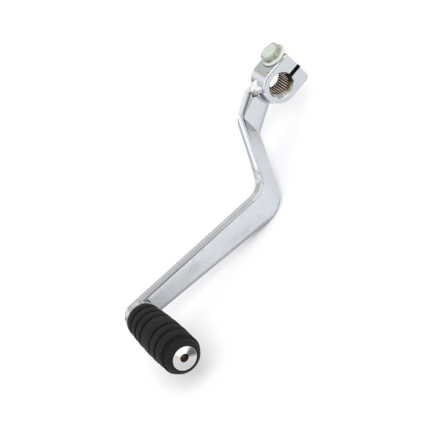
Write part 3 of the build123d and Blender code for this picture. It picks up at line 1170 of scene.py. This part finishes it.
@dataclass
class ClampHead:
    """The split head with its serrated bore, and the welds that join it to the arm."""

    arm: Arm
    weld_leg: float = 2.2 * MM
    weld_back_leg: float = 1.5 * MM
    weld_from: float = -8.0
    weld_to: float = 40.0
    weld_stations: int = 90
    weld_steps: int = 8
    weld_hollow: float = 0.92
    weld_sunk: float = 0.6 * MM
    weld_under: float = 0.3 * MM
    ripples: int = 15
    ripple_share: float = 0.07
    end_taper: float = 8.0
    end_size: float = 0.02
    root_share: float = 0.6
    melt_grid: float = 0.18 * MM
    top_lumps: float = 0.05 * MM
    bottom_lumps: float = 0.08 * MM
    lump_scales: Pair = (900.0, 2300.0)
    bottom_drops: int = 4
    bottom_drop_r: float = 1.5 * MM
    bottom_start: float = 1.6 * MM
    bottom_pitch: float = 1.4 * MM
    top_drops: tuple = (
        (0.2, 5.6, 9.5, 2.9),
        (-1.2, 6.1, 9.6, 2.4),
        (-0.3, 3.6, 9.8, 1.9),
        (-0.2, 2.1, 9.9, 1.1),
        (2.9, 4.9, 9.0, 1.9),
        (4.4, 4.2, 9.1, 1.1),
        (-2.9, 7.8, 10.4, 1.8),
        (1.6, 7.7, 8.3, 1.2),
        (-0.2, 8.3, 8.6, 1.1),
    )
    finish: HeadFinish = field(default_factory=HeadFinish)
    weld_finish: BeadFinish = field(
        default_factory=lambda: BeadFinish(roughness=0.16, ripple=0.00008, ripple_scale=420.0)
    )
    # Darker tones than the other chrome: painted shade on the fillet welds in the corners between head
    # and arm.
    fillet_finish: ChromeFinish = ChromeFinish(
        name="fillet_chrome",
        bright=(0.56, 0.60, 0.61),
        dull=(0.38, 0.42, 0.43),
        roughness=0.1,
        ripple=0.00006,
    )

    def fillet_ring(
        self, name: str, seat_x: float, rise: int, leg: float, node: str, finish: bpy.types.Material
    ) -> bpy.types.Object:
        """A rippled fillet weld round the head on one face of the arm.

        Args:
            name: The piece's name.
            seat_x: The face's place.
            rise: +1 if the face looks outboard, else -1.
            leg: Leg length of the weld.
            node: The node it stands for.
            finish: Its material.

        Returns:
            The piece.
        """
        head_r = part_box("clamp_head")[1].z
        start = 180.0 + self.arm.root_angle
        sweep = np.linspace(start - self.weld_to, start - self.weld_from, self.weld_stations)
        vertices = []
        for index, angle in enumerate(sweep):
            share = index / (len(sweep) - 1)
            taper = min(1.0, (self.end_taper * min(share, 1 - share)) ** 0.5 + self.end_size)
            wave = 0.5 + 0.5 * math.cos(2 * math.pi * share * self.ripples)
            size = leg * taper * (1 - self.ripple_share + self.ripple_share * wave)
            ring = []
            for step in range(self.weld_steps + 1):
                turn = math.pi / 2 * step / self.weld_steps
                out = size * (1 - math.sin(turn) * self.weld_hollow)
                lift = size * (1 - math.cos(turn) * self.weld_hollow)
                ring.append((out, lift))
            ring += [(0.0, size), (-self.weld_sunk, size * self.root_share)]
            ring += [(-self.weld_sunk, -self.weld_under), (size, -self.weld_under)]
            turn = math.radians(angle)
            for out, lift in ring:
                y, z = (head_r + out) * math.cos(turn), (head_r + out) * math.sin(turn)
                vertices.append(Vector((seat_x + rise * lift, y, z)))
        count = (len(sweep), len(vertices) // len(sweep))
        skin = (vertices, ring_faces(*count) + end_faces(*count))
        return make_piece(name, skin, finish, [node], sharp_angle=70)

    def blob(
        self,
        name: str,
        drops: Sequence[tuple[Vector, float]],
        node: str,
        finish: bpy.types.Material,
        bump: float,
    ) -> bpy.types.Object:
        """A lumpy bead: overlapping drops melted into one skin.

        Args:
            name: The piece's name.
            drops: Centre and radius of each drop.
            node: The node it stands for.
            finish: Its material.
            bump: Height of its unevenness.

        Returns:
            The piece.
        """
        shape = bmesh.new()
        for centre, radius in drops:
            bmesh.ops.create_icosphere(
                shape, subdivisions=4, radius=radius, matrix=Matrix.Translation(centre)
            )
        mesh = bpy.data.meshes.new(name + "_drops")
        shape.to_mesh(mesh)
        shape.free()
        raw = bpy.data.objects.new(name + "_drops", mesh)
        bpy.context.scene.collection.objects.link(raw)
        melt = raw.modifiers.new("melt", "REMESH")
        melt.mode = "VOXEL"
        melt.voxel_size = self.melt_grid
        ease = raw.modifiers.new("ease", "SMOOTH")
        ease.iterations = 14
        ease.factor = 0.6
        graph = bpy.context.evaluated_depsgraph_get()
        skin = bpy.data.meshes.new_from_object(raw.evaluated_get(graph))
        coarse, fine = self.lump_scales
        vertices = []
        for vertex in skin.vertices:
            lump = noise.noise(vertex.co * coarse) + 0.5 * noise.noise(vertex.co * fine)
            vertices.append(vertex.co + vertex.normal * lump * bump)
        faces = [list(p.vertices) for p in skin.polygons]
        bpy.data.objects.remove(raw)
        return make_piece(name, (vertices, faces), finish, [node], sharp_angle=180)

    def build(self) -> list[bpy.types.Object]:
        """Dress the head and build its welds.

        Returns:
            The pieces.
        """
        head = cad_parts["clamp_head"]
        head.data.materials.clear()
        head.data.materials.append(self.finish.material())
        LOG.info("piece clamp_head: carried over")
        weld = self.weld_finish.material()
        smooth = self.fillet_finish.material()
        face_x = self.arm.face_x
        back_x = face_x - self.arm.bar
        made = [
            self.fillet_ring("weld_front", face_x, 1, self.weld_leg, "head_weld_front", smooth),
            self.fillet_ring("weld_back", back_x, -1, self.weld_back_leg, "head_weld_back", smooth),
        ]
        drops = [
            (Vector((x * MM, *self.arm.root_point(along * MM, across * MM))), radius * MM)
            for x, along, across, radius in self.top_drops
        ]
        made.append(self.blob("weld_top", drops, "head_weld_top", weld, self.top_lumps))
        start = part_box("head_weld_bottom")[0].x + self.bottom_start
        _, y, z = middle("head_weld_bottom")
        drops = [
            (Vector((start + k * self.bottom_pitch, y, z)), self.bottom_drop_r)
            for k in range(self.bottom_drops)
        ]
        made.append(self.blob("weld_bottom", drops, "head_weld_bottom", weld, self.bottom_lumps))
        return made


# ---------------------------------------------------------------- foot peg


@dataclass
class FootPeg:
    """The turned peg, its plug weld and the ribbed rubber sleeve."""

    arm: Arm
    spigot_r: float = 4.0 * MM
    collar_r: float = 8.0 * MM
    collar_length: float = 3.0 * MM
    shank_r: float = 4.75 * MM
    cap_r: float = 7.2 * MM
    cap_back: float = 3.6 * MM
    cap_edge: float = 1.9 * MM
    rim_recess: float = 0.35 * MM
    rim_r: float = 6.2 * MM
    rim_step: float = 0.12 * MM
    rim_ease: float = 0.15 * MM
    dish_depth: float = 0.6 * MM
    mark_r: float = 2.1 * MM
    mark_depth: float = 1.3 * MM
    mark_shares: tuple = (0.12, 0.3, 0.55, 0.8, 1.0)
    dish_steps: int = 16
    plug_steps: int = 39
    plug_segments: int = 72
    plug_inset: float = 0.05 * MM
    plug_edge: float = 0.1 * MM
    plug_ripple: float = 0.05 * MM
    plug_waves: float = 26.0
    plug_fill: float = 0.93
    sleeve_max_r: float = 10.0 * MM
    sleeve_inner_r: float = 8.4 * MM
    sleeve_fullest: float = 31.5 * MM
    nose_fall: float = 6.5
    lip_r: float = 6.9 * MM
    lip_gap: float = 0.15 * MM
    nose: float = 4.0 * MM
    nose_round: float = 1.6 * MM
    nose_r: float = 8.65 * MM
    cap_fit: float = 0.02 * MM
    crown: float = 0.16 * MM
    crown_round: float = 1.5 * MM
    crown_drop: float = 0.6
    end_fall: float = 0.15 * MM
    end_round: float = 0.5 * MM
    lip_ease: float = 0.1 * MM
    lip_rounds: tuple = mm(2.2, 0.4, 0.2)
    grooves: tuple = mm(5.2, 11.2, 17.0, 27.1, 33.0, 39.8)
    groove_half: float = 0.95 * MM
    groove_depth: float = 1.3 * MM
    groove_round: float = 0.6 * MM
    floor_round: float = 0.25 * MM
    floor_shares: Pair = (0.45, 1.55)
    segments: int = 128
    sleeve_segments: int = 180
    seam_rise: float = 0.07 * MM
    seam_half: float = 0.006
    peg_finish: PegFinish = field(
        default_factory=lambda: PegFinish(ripple=0.00001, roughness=0.16)
    )
    plug_finish: ChromeFinish = ChromeFinish(
        name="plug_chrome", stain_amount=0.4, roughness=0.12, ripple=0.00008, ripple_scale=300.0
    )
    sleeve_finish: RubberFinish = field(default_factory=RubberFinish)

    def __post_init__(self) -> None:
        """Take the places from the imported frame."""
        sleeve_low, sleeve_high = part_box("grip_rubber")
        self.axis = Vector((0.0, *middle("gear_peg")[1:]))
        self.back_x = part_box("gear_peg")[0].x
        self.arm_x = sleeve_low.x - self.collar_length
        self.start_x = sleeve_low.x
        self.end_x = sleeve_high.x

    def barrel(self, along: float) -> float:
        """Outer radius of the sleeve by distance from its arm end.

        Args:
            along: The distance.

        Returns:
            The radius.
        """
        fall = (self.sleeve_max_r - self.sleeve_inner_r) / self.sleeve_fullest**2
        if along > self.sleeve_fullest:
            fall *= self.nose_fall
        return self.sleeve_max_r - fall * (along - self.sleeve_fullest) ** 2

    def turned_peg(self) -> bpy.types.Object:
        """The peg with its collar, dished cap and centre mark.

        Returns:
            The piece.
        """
        back_x = self.end_x - self.cap_back
        edge_x = self.end_x - self.cap_edge
        rim_x = self.end_x - self.rim_recess
        corners = [
            (self.back_x, 0.0),
            (self.back_x, self.spigot_r),
            (self.arm_x, self.spigot_r),
            (self.arm_x, self.collar_r),
            (self.start_x, self.collar_r),
            (self.start_x, self.shank_r),
            (back_x, self.shank_r),
            (back_x, self.cap_r),
            (edge_x, self.cap_r),
            (rim_x - self.rim_step, self.rim_r),
            (rim_x, self.rim_r - self.rim_ease),
        ]
        radii = [0, 0, 0, 0.35 * MM, 0, 0.3 * MM, 0, 0, 0]
        profile = rounded(corners, radii, 4)
        for step in range(1, self.dish_steps + 1):
            fall = (self.mark_r - self.rim_r) * step / self.dish_steps
            radius = self.rim_r - self.rim_ease + fall
            profile.append((rim_x - self.dish_depth * (1 - (radius / self.rim_r) ** 2), radius))
        brim = profile[-1][0]
        for share in self.mark_shares:
            drop = self.mark_depth * math.sin(share * math.pi / 2) ** 0.9
            profile.append((brim - drop, self.mark_r * (1 - share)))
        skin = turned(profile, self.segments, axis_x(self.axis))
        return make_piece("peg_turned", skin, self.peg_finish.material(), ["gear_peg"])

    def plug_weld(self) -> bpy.types.Object:
        """The plug weld on the arm's inboard face, rippled in rings.

        Returns:
            The piece.
        """
        low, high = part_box("peg_weld")
        face_x = self.arm_x - self.arm.bar
        reach = (high.y - low.y) / 2
        profile = [(high.x, 0.0), (high.x, self.spigot_r - self.plug_inset), (face_x, self.spigot_r)]
        profile.append((face_x + self.plug_edge, reach))
        rise = face_x - low.x
        for step in range(1, self.plug_steps + 1):
            share = step / self.plug_steps
            radius = reach * (1 - share)
            dome = rise * (1 - (radius / reach) ** 4)
            wave = self.plug_ripple * math.sin(share * self.plug_waves) * (1 - share)
            profile.append((face_x - dome * self.plug_fill + wave, radius))
        skin = turned(profile, self.plug_segments, axis_x(self.axis))
        finish = self.plug_finish.material()
        return make_piece("plug_weld", skin, finish, ["peg_weld"], sharp_angle=50)

    def sleeve_profile(self) -> list[Pair]:
        """The sleeve's section: barrel, grooves, nose, open lip and bore.

        Returns:
            (along, radius) points, from the arm end.
        """
        length = self.end_x - self.start_x
        corners = [(0.0, self.shank_r), (0.0, self.barrel(0) - self.end_fall)]
        radii = [self.end_round]
        edges = [0.0, *self.grooves, length - self.nose]
        for index, (start, finish) in enumerate(zip(edges, edges[1:])):
            left = start + (self.groove_half if index else 0.0)
            grooved = index < len(self.grooves)
            right = finish - (self.groove_half if grooved else 0.0)
            for share in (0.0, 0.25, 0.5, 0.75, 1.0):
                if share == 0.0 and not index:
                    continue
                along = left + (right - left) * share
                bulge = self.crown * (1 - (2 * share - 1) ** 2) - self.crown * self.crown_drop
                corners.append((along, self.barrel(along) + bulge))
                radii.append(self.groove_round if share in (0.0, 1.0) else self.crown_round)
            if grooved:
                floor = self.barrel(finish) - self.groove_depth
                corners += [(right + self.groove_half * s, floor) for s in self.floor_shares]
                radii += [self.floor_round, self.floor_round]
        cap_r = self.cap_r + self.cap_fit
        radii[-1] = self.nose_round
        corners += [
            (length - self.nose_round, self.nose_r),
            (length, self.lip_r - self.lip_ease),
            (length, self.rim_r + self.lip_gap),
            (length - self.rim_recess, self.rim_r + self.cap_fit),
            (length - self.cap_edge, cap_r),
            (length - self.cap_back, cap_r),
            (length - self.cap_back, self.shank_r),
        ]
        radii += [*self.lip_rounds, 0, 0, 0]
        return rounded(corners + [(0.0, self.shank_r)], radii + [0], 5)

    def sleeve(self) -> bpy.types.Object:
        """The rubber sleeve, with a faint mould line down two sides.

        Returns:
            The piece.
        """
        around = self.sleeve_segments
        seams = []
        for step in range(around):
            off = abs((2 * step / around + 0.25) % 1.0 - 0.5)
            seams.append(self.seam_rise * math.exp(-((off / self.seam_half) ** 2)))
        rows = []
        for along, radius in self.sleeve_profile():
            raised = seams if radius > self.lip_r else [0.0] * around
            rows.append([(along, min(radius + seam, self.sleeve_max_r)) for seam in raised])
        skin = round_skin(rows, axis_x(self.axis + Vector((self.start_x, 0.0, 0.0))))
        finish = self.sleeve_finish.material()
        return make_piece(
            "sleeve_ribbed", skin, finish, ["grip_rubber"], sharp_angle=60
        )

    def build(self) -> list[bpy.types.Object]:
        """Build the peg, its weld and its sleeve."""
        return [self.turned_peg(), self.plug_weld(), self.sleeve()]


# ---------------------------------------------------------------- pinch bolt


@dataclass
class PinchBolt:
    """The hexagon flange bolt that closes the clamp."""

    across_flats: float = 10.0 * MM
    flange_rim: float = 1.0 * MM
    flange_cone: float = 0.7 * MM
    chamfer_r: float = 3.9 * MM
    major_r: float = 2.95 * MM
    minor_r: float = 2.42 * MM
    pitch: float = 1.0 * MM
    plain_length: float = 2.0 * MM
    run_out: float = 0.8 * MM
    tip_fall: float = 0.25 * MM
    corner_round: float = 0.35 * MM
    corner_soft: float = 0.12 * MM
    corner_share: float = 0.45
    flange_rounds: Pair = mm(0.2, 0.35)
    flange_inset: float = 0.01 * MM
    cone_inset: float = 0.2 * MM
    cone_top: float = 0.15 * MM
    least_meet: float = 0.1 * MM
    foot_fillet: tuple = (mm(0.0, 0.25), mm(0.12, 0.06), mm(0.35, 0.0))
    crown_edge: tuple = (mm(-0.15, 0.0), mm(0.02, -0.06))
    cap_edge: tuple = (mm(-0.02, -0.1), mm(0.0, -0.4))
    cap_rings: tuple = mm(3.0, 1.5, 0.0)
    crest_share: float = 0.12
    flank_share: float = 0.76
    plain_under: float = 0.08 * MM
    chamfer_slope: float = math.tan(math.radians(30))
    head_segments: int = 216
    thread_segments: int = 48
    rows_per_turn: int = 12
    finish: ZincFinish = field(default_factory=ZincFinish)

    def __post_init__(self) -> None:
        """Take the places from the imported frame."""
        self.low, self.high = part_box("pinch_bolt")
        self.place = Matrix.Translation(Vector((*middle("pinch_bolt")[:2], 0.0)))
        self.flange_r = (self.high.x - self.low.x) / 2 - self.flange_inset
        self.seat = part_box("clamp_head")[1].z

    def hex_reach(self, turn: float) -> float:
        """Distance from the axis to the side of the rounded hexagon.

        Args:
            turn: Direction round the axis, in radians.

        Returns:
            The distance.
        """
        sector = math.pi / 3
        off = (turn + sector / 2) % sector - sector / 2
        flat = self.across_flats / 2 / math.cos(sector / 2 - abs(off))
        limit = self.across_flats / 2 / math.cos(sector / 2) - self.corner_round * self.corner_share
        soft = self.corner_soft
        return -soft * math.log(math.exp(-flat / soft) + math.exp(-limit / soft))

    def head_column(self, rim: Sequence[Pair], reach: float) -> list[Pair]:
        """The head's section in one direction.

        Args:
            rim: The flange's (height, radius) points.
            reach: Distance to the hexagon's side.

        Returns:
            (height, radius) points from the seat to the middle of the top.
        """
        top = self.high.z
        flat_r = self.chamfer_r
        crown = top - max(0.0, reach - flat_r) * self.chamfer_slope
        slide = self.flange_cone * (self.flange_r - reach - self.cone_inset)
        lift = max(self.least_meet, slide / (self.flange_r - self.across_flats / 2))
        meet = self.seat + self.flange_rim + lift
        foot = [(meet + up, reach + out) for up, out in self.foot_fillet]
        side = ((meet + crown) / 2, reach)
        edge = [(crown + up, reach + out) for up, out in self.crown_edge]
        edge += [(top + up, flat_r + out) for up, out in self.cap_edge]
        cap = [(top, radius) for radius in self.cap_rings]
        return [*rim, *foot, side, *edge, *cap]

    def head(self, finish: bpy.types.Material) -> bpy.types.Object:
        """Hexagon and flange in one skin.

        Args:
            finish: Its material.

        Returns:
            The piece.
        """
        cone_foot = self.seat + self.flange_rim
        corners = [
            (self.seat, self.major_r),
            (self.seat, self.flange_r),
            (cone_foot, self.flange_r),
            (cone_foot + self.flange_cone, self.across_flats / 2 + self.cone_top),
        ]
        rim = rounded(corners, self.flange_rounds, 5)[:-1]
        turns = [2 * math.pi * step / self.head_segments for step in range(self.head_segments)]
        columns = [self.head_column(rim, self.hex_reach(turn)) for turn in turns]
        skin = round_skin(list(zip(*columns)), self.place)
        return make_piece("bolt_head", skin, finish, ["pinch_bolt"], Body.BOLT, 38)

    def thread_radius(self, z: float, turn: float) -> float:
        """Radius of the threaded shank.

        Args:
            z: Height in the row frame.
            turn: Direction, as a share of a full turn.

        Returns:
            The radius.
        """
        crest = abs((z / self.pitch - turn) % 1.0 - 0.5) * 2
        depth = min(1.0, max(0.0, (crest - self.crest_share) / self.flank_share))
        radius = self.major_r - (self.major_r - self.minor_r) * depth
        radius = min(radius, self.minor_r - self.tip_fall + (z - self.low.z))
        plain = (z - (self.seat - self.plain_length)) / self.run_out
        full = self.major_r - self.plain_under
        return radius + (full - radius) * min(1.0, max(0.0, plain))

    def thread(self, finish: bpy.types.Material) -> bpy.types.Object:
        """Shank with its helical thread.

        Args:
            finish: Its material.

        Returns:
            The piece.
        """
        around = self.thread_segments
        tip = self.low.z
        count = int((self.seat - tip) / (self.pitch / self.rows_per_turn))
        rows = []
        for row in range(count + 1):
            z = tip + (self.seat - tip) * row / count
            rows.append([(z, self.thread_radius(z, step / around)) for step in range(around)])
        vertices, faces = round_skin(rows, self.place)
        skin = (vertices, faces + end_faces(len(rows), around))
        return make_piece(
            "bolt_thread", skin, finish, body=Body.BOLT, sharp_angle=70
        )

    def build(self) -> list[bpy.types.Object]:
        """Build the bolt."""
        finish = self.finish.material()
        return [self.head(finish), self.thread(finish)]


# ---------------------------------------------------------------- studio


@dataclass(frozen=True)
class SkyPatch:
    """A soft-edged patch of the studio walls, seen in the chrome."""

    towards: Triple
    radius: float
    softness: float
    colour: Colour

    def mask(self, bench: NodeBench, direction: Wire) -> Wire:
        """1 inside the patch and 0 outside it.

        Args:
            bench: The tree builder.
            direction: The direction looked in.

        Returns:
            The mask.
        """
        outer = math.cos(math.radians(self.radius + self.softness))
        inner = math.cos(math.radians(max(0.0, self.radius - self.softness)))
        return bench.dot(direction, tuple(Vector(self.towards).normalized())).step(outer, inner)


@dataclass(frozen=True)
class SkyBand:
    """A soft-edged band of the studio walls between two heights, seen in the chrome."""

    low: float
    high: float
    softness: float
    colour: Colour

    def mask(self, bench: NodeBench, direction: Wire) -> Wire:
        """1 inside the band and 0 outside it.

        Args:
            bench: The tree builder.
            direction: The direction looked in.

        Returns:
            The mask.
        """
        height = bench.split(direction)[2]
        foot = [math.sin(math.radians(self.low + k * self.softness)) for k in (-1, 1)]
        head = [math.sin(math.radians(self.high + k * self.softness)) for k in (1, -1)]
        return height.step(*foot) * height.step(*head)


@dataclass
class Studio:
    """Pale floor, soft light and the camera."""

    floor_gap: float = 0.6 * MM
    floor_half: float = 3.0
    aim: Vector = field(default_factory=lambda: Vector((10.2, -68.6, -17.6)) * MM)
    distance: float = 1.0195
    azimuth: float = 88.0
    elevation: float = 35.4
    roll: float = 48.4
    lens: float = 175.0
    walls: Colour = (1.16, 1.16, 1.17)
    patches: tuple = (
        SkyBand(-12, 14, 8, (0.46, 0.46, 0.46)),
        SkyPatch((0.86, -0.28, 0.34), 30, 10, (0.47, 0.47, 0.45)),
        SkyPatch((-0.815, 0.17, 0.55), 17, 8, (0.93, 0.92, 0.92)),
        SkyPatch((-0.815, 0.0, 0.58), 8, 5, (0.74, 0.73, 0.69)),
        SkyPatch((-0.815, -0.17, 0.55), 3.5, 3, (0.72, 0.64, 0.56)),
    )

    def floor(self) -> None:
        """The floor, just under the lowest point."""
        low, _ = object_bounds()
        level = low.z - self.floor_gap
        half = self.floor_half
        mesh = bpy.data.meshes.new("floor")
        corners = [(-half, -half), (half, -half), (half, half), (-half, half)]
        mesh.from_pydata([(x, y, level) for x, y in corners], [], [[0, 1, 2, 3]])
        mesh.materials.append(FloorFinish().material())
        board = bpy.data.objects.new("floor", mesh)
        bpy.context.scene.collection.objects.link(board)
        board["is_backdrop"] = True

    def sky(self) -> None:
        """Pale walls with a few grey and warm patches."""
        world = bpy.data.worlds.new("studio_walls")
        bpy.context.scene.world = world
        world.use_nodes = True
        bench = NodeBench(world.node_tree)
        direction = bench.add("ShaderNodeTexCoord", output="Generated")
        colour: Wire | Colour = self.walls
        for patch in self.patches:
            colour = bench.mix(patch.mask(bench, direction), colour, patch.colour)
        light = bench.add("ShaderNodeBackground", {}, {"Color": colour, "Strength": 1.0})
        bench.add("ShaderNodeOutputWorld", {}, {"Surface": light})

    def lamp(self, name: str, place: Vector, size: float, power: float) -> None:
        """A square soft light aimed at the object.

        Args:
            name: Its name.
            place: Where it hangs.
            size: Side length.
            power: Watts.
        """
        data = bpy.data.lights.new(name, "AREA")
        data.size = size
        data.energy = power
        lamp = bpy.data.objects.new(name, data)
        lamp.location = place
        lamp.visible_glossy = False
        lamp.rotation_mode = "QUATERNION"
        lamp.rotation_quaternion = (self.aim - place).to_track_quat("-Z", "Y")
        bpy.context.scene.collection.objects.link(lamp)

    def camera(self) -> None:
        """The camera, rolled about its own axis."""
        turn, lift = math.radians(self.azimuth), math.radians(self.elevation)
        back = Vector(
            (math.sin(turn) * math.cos(lift), -math.cos(turn) * math.cos(lift), math.sin(lift))
        )
        data = bpy.data.cameras.new("camera")
        data.lens = self.lens
        data.sensor_width = 36.0
        data.clip_start, data.clip_end = 0.05, 20.0
        camera = bpy.data.objects.new("camera", data)
        level = (-back).to_track_quat("-Z", "Y").to_matrix().to_4x4()
        tilt = Matrix.Rotation(math.radians(-self.roll), 4, "Z")
        camera.matrix_world = Matrix.Translation(self.aim + back * self.distance) @ level @ tilt
        bpy.context.scene.collection.objects.link(camera)
        bpy.context.scene.camera = camera

    def build(self) -> None:
        """Build the studio."""
        bpy.context.scene.view_settings.view_transform = "Standard"
        self.floor()
        self.sky()
        self.lamp("key", Vector((0.75, -0.05, 0.75)), 0.7, 5.0)
        self.camera()


def main() -> None:
    """Build every sub-assembly, then the studio."""
    logging.basicConfig(level=logging.INFO, format="%(message)s")
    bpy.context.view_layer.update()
    arm = Arm()
    for assembly in (ClampHead(arm), arm, FootPeg(arm), PinchBolt()):
        made = assembly.build()
        names = ", ".join(piece.name for piece in made)
        LOG.info("%s: %s", type(assembly).__name__, names)
    Studio().build()


if __name__ == "__main__":
    main()
